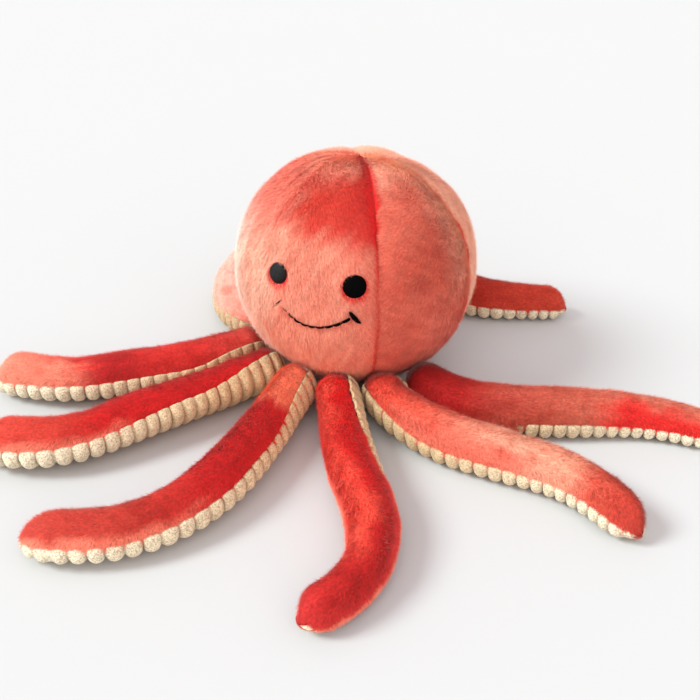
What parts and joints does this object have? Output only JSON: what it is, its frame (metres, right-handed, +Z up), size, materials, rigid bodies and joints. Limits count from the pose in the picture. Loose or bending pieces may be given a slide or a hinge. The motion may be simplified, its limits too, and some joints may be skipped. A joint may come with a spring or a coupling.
{
  "type": "plush octopus",
  "caption": "Soft plush octopus with a ball head sewn from gores, stitched eyes and smile, and curling arms with ribbed cord soles, each hinged at its seam to the head.",
  "frame": {"origin": "On the resting plane under the middle of the head, on the flat of the base patch.", "axes": "+Z up, the face looks along -Y, +X is the toy's left. The arms lie on the plane Z = 0."},
  "size_m": [0.3083, 0.2722, 0.1004],
  "materials": {
    "coral_plush": "short brushed pile",
    "salmon_plush": "short brushed pile",
    "red_plush": "short brushed pile",
    "cream_cord": "wide ribbed cord with nubs",
    "white_fibre": "loose polyester fibre",
    "black_thread": "satin stitch",
    "coral_thread": "twisted sewing thread"
  },
  "bodies": {
    "head": {"head_gore_1": "salmon_plush", "head_gore_2": "coral_plush", "head_gore_3": "coral_plush", "head_gore_4": "coral_plush", "head_gore_5": "coral_plush", "head_gore_6": "coral_plush", "head_seam_thread_1": "coral_thread", "head_seam_thread_2": "coral_thread", "head_seam_thread_3": "coral_thread", "head_seam_thread_4": "coral_thread", "head_seam_thread_5": "coral_thread", "head_seam_thread_6": "coral_thread", "head_base_patch": "coral_plush", "head_base_thread": "coral_thread", "head_stuffing": "white_fibre", "crown_knot": "coral_thread", "eye_left": "black_thread", "eye_right": "black_thread", "smile_thread": "black_thread", "smile_corner_left": "black_thread", "smile_corner_right": "black_thread"},
    "arm_1": {"arm_1_top": "red_plush", "arm_1_sole": "cream_cord", "arm_1_stuffing": "white_fibre", "arm_1_seam_thread": "coral_thread"},
    "arm_2": {"arm_2_top": "red_plush", "arm_2_sole": "cream_cord", "arm_2_stuffing": "white_fibre", "arm_2_seam_thread": "coral_thread"},
    "arm_3": {"arm_3_top": "red_plush", "arm_3_sole": "cream_cord", "arm_3_stuffing": "white_fibre", "arm_3_seam_thread": "coral_thread"},
    "arm_4": {"arm_4_top": "red_plush", "arm_4_sole": "cream_cord", "arm_4_stuffing": "white_fibre", "arm_4_seam_thread": "coral_thread"},
    "arm_5": {"arm_5_top": "red_plush", "arm_5_sole": "cream_cord", "arm_5_stuffing": "white_fibre", "arm_5_seam_thread": "coral_thread"},
    "arm_6": {"arm_6_top": "red_plush", "arm_6_sole": "cream_cord", "arm_6_stuffing": "white_fibre", "arm_6_seam_thread": "coral_thread"},
    "arm_7": {"arm_7_top": "red_plush", "arm_7_sole": "cream_cord", "arm_7_stuffing": "white_fibre", "arm_7_seam_thread": "coral_thread"},
    "arm_8": {"arm_8_top": "red_plush", "arm_8_sole": "cream_cord", "arm_8_stuffing": "white_fibre", "arm_8_seam_thread": "coral_thread"}
  },
  "joints": [
    {"name": "arm_1_hinge", "type": "hinge", "parent": "head", "child": "arm_1", "pos_m": [0.00954, -0.04909, 0.012], "axis": [-0.8746, -0.4848, 0], "range_deg": [-50, 45]},
    {"name": "arm_2_hinge", "type": "hinge", "parent": "head", "child": "arm_2", "pos_m": [0.02752, -0.0408, 0.012], "axis": [-0.7071, -0.7071, 0], "range_deg": [-50, 45]},
    {"name": "arm_3_hinge", "type": "hinge", "parent": "head", "child": "arm_3", "pos_m": [0.04229, -0.02747, 0.012], "axis": [-0.454, -0.891, 0], "range_deg": [-50, 45]},
    {"name": "arm_4_hinge", "type": "hinge", "parent": "head", "child": "arm_4", "pos_m": [-0.01299, 0.04849, 0.012], "axis": [0.9877, 0.1564, 0], "range_deg": [-50, 45]},
    {"name": "arm_5_hinge", "type": "hinge", "parent": "head", "child": "arm_5", "pos_m": [-0.04955, -0.00521, 0.012], "axis": [0.4848, 0.8746, 0], "range_deg": [-50, 45]},
    {"name": "arm_6_hinge", "type": "hinge", "parent": "head", "child": "arm_6", "pos_m": [-0.04286, -0.02678, 0.012], "axis": [-0.6947, 0.7193, 0], "range_deg": [-50, 45]},
    {"name": "arm_7_hinge", "type": "hinge", "parent": "head", "child": "arm_7", "pos_m": [-0.02836, -0.0405, 0.012], "axis": [-0.9205, 0.3907, 0], "range_deg": [-50, 45]},
    {"name": "arm_8_hinge", "type": "hinge", "parent": "head", "child": "arm_8", "pos_m": [-0.01042, -0.04901, 0.012], "axis": [-0.9994, 0.0349, 0], "range_deg": [-50, 45]}
  ]
}
